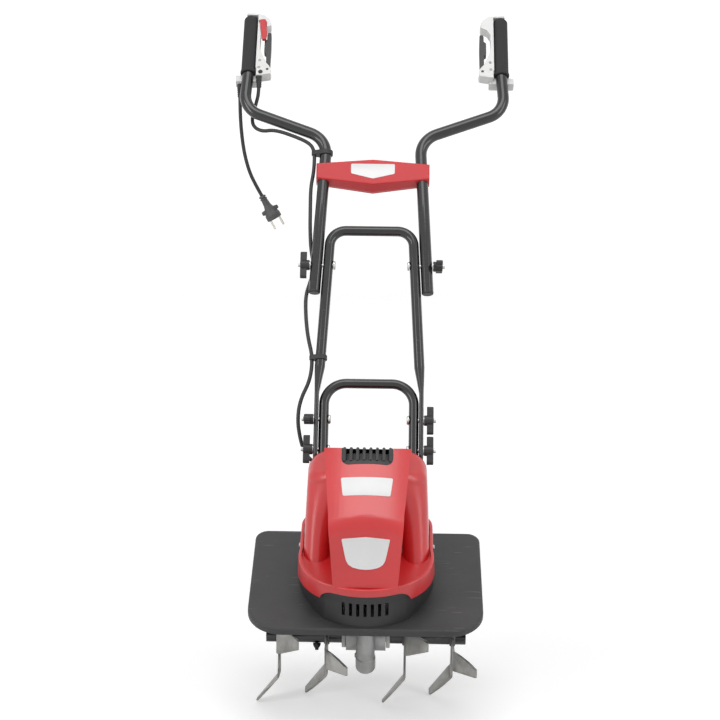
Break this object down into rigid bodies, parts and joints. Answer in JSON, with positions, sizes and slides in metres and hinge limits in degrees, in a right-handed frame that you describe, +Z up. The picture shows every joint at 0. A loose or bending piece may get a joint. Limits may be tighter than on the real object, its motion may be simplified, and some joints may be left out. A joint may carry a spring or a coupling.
{
  "type": "electric tiller",
  "caption": "Upright electric garden tiller: bent steel tine stars on a worm-driven axle under a fender, a red motor housing and a folding tubular handle with two switch grips.",
  "frame": {"origin": "on the ground plane under the middle of the machine, leads left out", "axes": "+Z up, +X to the right as seen from the front, +Y back towards the operator"},
  "size_m": [0.531, 0.6804, 1.2179],
  "materials": {
    "tine_steel": "bare stamped steel with a mill scale",
    "axle_steel": "ground bar",
    "pin_steel": "black oxide",
    "nylon": "natural nylon",
    "gear_bronze": "bronze worm wheel",
    "shaft_steel": "ground steel",
    "gearbox_casting": "die-cast, silver lacquer",
    "screw_steel": "zinc plated",
    "bearing_steel": "bearing steel",
    "bush_bronze": "sintered bronze",
    "black_moulding": "finely textured black moulding",
    "red_moulding": "satin red moulding",
    "motor_casting": "raw die casting",
    "lamination": "stacked sheet steel",
    "copper": "enamelled copper winding",
    "tube_black": "gloss black powder coat on steel tube",
    "bolt_steel": "zinc plated",
    "knob_black": "black nylon",
    "grip_foam": "closed-cell foam grip",
    "switch_white": "light grey moulding",
    "lever_black": "black moulding",
    "rocker_red": "red moulding",
    "cord_black": "round rubber lead",
    "plug_black": "moulded-on plug",
    "pin_brass": "nickel-plated plug pins"
  },
  "bodies": {
    "machine": {"gearbox_housing": "gearbox_casting", "gearbox_side_cover": "gearbox_casting", "gearbox_cap": "gearbox_casting", "gearbox_screws": "screw_steel", "shaft_bearings": "bearing_steel", "axle_bearings": "bush_bronze", "fender": "black_moulding", "lower_housing": "black_moulding", "top_vent": "black_moulding", "top_cover": "red_moulding", "lead_gland": "knob_black", "housing_screws": "screw_steel", "motor_base": "motor_casting", "stator_core": "lamination", "field_coils": "copper", "end_bracket": "motor_casting", "lower_frame": "tube_black", "mid_frame": "tube_black", "frame_bolts": "bolt_steel", "handle_bolts": "bolt_steel", "flat_washers": "bolt_steel", "motor_lead_lower": "cord_black", "lead_clip_lower": "knob_black"},
    "tine_shaft": {"tine_star_left_outer": "tine_steel", "tine_star_left_inner": "tine_steel", "tine_star_right_inner": "tine_steel", "tine_star_right_outer": "tine_steel", "tine_axle": "axle_steel", "tine_sleeves": "tube_black", "tine_pins": "pin_steel", "axle_washers": "nylon", "worm_wheel": "gear_bronze"},
    "rotor": {"worm_shaft": "shaft_steel", "armature": "lamination", "commutator": "copper", "cooling_fan": "knob_black"},
    "upper_handle": {"handle_tube_left": "tube_black", "handle_tube_right": "tube_black", "tube_plugs": "knob_black", "crossbar_front": "red_moulding", "crossbar_rear": "red_moulding", "grip_left": "grip_foam", "grip_right": "grip_foam", "switch_housing_left": "switch_white", "switch_housing_right": "switch_white", "lead_clip_upper": "knob_black", "motor_lead_upper": "cord_black", "supply_gland": "knob_black", "supply_cord": "cord_black", "plug_body": "plug_black", "plug_pins": "pin_brass"},
    "knob_lower_left": {"knob_lower_left": "knob_black"},
    "knob_middle_left": {"knob_middle_left": "knob_black"},
    "knob_upper_left": {"knob_upper_left": "knob_black"},
    "knob_lower_right": {"knob_lower_right": "knob_black"},
    "knob_middle_right": {"knob_middle_right": "knob_black"},
    "knob_upper_right": {"knob_upper_right": "knob_black"},
    "lever_left": {"lever_left": "lever_black"},
    "lever_right": {"lever_right": "lever_black"},
    "lock_rocker": {"lock_rocker": "rocker_red"}
  },
  "joints": [
    {"name": "tine_spin", "type": "hinge", "parent": "machine", "child": "tine_shaft", "pos_m": [0, -0.15312, 0.11852], "axis": [1, 0, 0], "continuous": true},
    {"name": "rotor_spin", "type": "hinge", "parent": "machine", "child": "rotor", "pos_m": [0, -0.18901, 0.10602], "axis": [0, -0.3289, 0.9444], "continuous": true},
    {"name": "handle_fold", "type": "hinge", "parent": "machine", "child": "upper_handle", "pos_m": [0, 0.04288, 0.76886], "axis": [1, 0, 0], "range_deg": [0, 150], "deforming": ["motor_lead_lower", "motor_lead_upper"]},
    {"name": "knob_lower_left_turn", "type": "hinge", "parent": "machine", "child": "knob_lower_left", "pos_m": [-0.1083, -0.13312, 0.46402], "axis": [-1, 0, 0], "range_deg": [0, 720]},
    {"name": "knob_middle_left_turn", "type": "hinge", "parent": "machine", "child": "knob_middle_left", "pos_m": [-0.1083, -0.10512, 0.51252], "axis": [-1, 0, 0], "range_deg": [0, 720]},
    {"name": "knob_upper_left_turn", "type": "hinge", "parent": "machine", "child": "knob_upper_left", "pos_m": [-0.12305, 0.04288, 0.76886], "axis": [-1, 0, 0], "range_deg": [0, 720]},
    {"name": "knob_lower_right_turn", "type": "hinge", "parent": "machine", "child": "knob_lower_right", "pos_m": [0.1083, -0.13312, 0.46402], "axis": [1, 0, 0], "range_deg": [0, 720]},
    {"name": "knob_middle_right_turn", "type": "hinge", "parent": "machine", "child": "knob_middle_right", "pos_m": [0.1083, -0.10512, 0.51252], "axis": [1, 0, 0], "range_deg": [0, 720]},
    {"name": "knob_upper_right_turn", "type": "hinge", "parent": "machine", "child": "knob_upper_right", "pos_m": [0.12305, 0.04288, 0.76886], "axis": [1, 0, 0], "range_deg": [0, 720]},
    {"name": "lever_left_pull", "type": "hinge", "parent": "upper_handle", "child": "lever_left", "pos_m": [-0.2055, 0.24023, 1.10859], "axis": [0, -0.7431, 0.6691], "range_deg": [0, 6], "stiffness_Nm_per_rad": 1.5, "springref_deg": -5.73},
    {"name": "lever_right_pull", "type": "hinge", "parent": "upper_handle", "child": "lever_right", "pos_m": [0.2055, 0.24023, 1.10859], "axis": [0, 0.7431, -0.6691], "range_deg": [0, 6], "stiffness_Nm_per_rad": 1.5, "springref_deg": -5.73},
    {"name": "lock_rocker_press", "type": "hinge", "parent": "upper_handle", "child": "lock_rocker", "pos_m": [-0.219, 0.30543, 1.19521], "axis": [0, -0.7431, 0.6691], "range_deg": [0, 12], "stiffness_Nm_per_rad": 0.12, "springref_deg": -5.73}
  ],
  "couplings": [
    {"joint": "rotor_spin", "follows": "tine_spin", "ratio": 40}
  ]
}
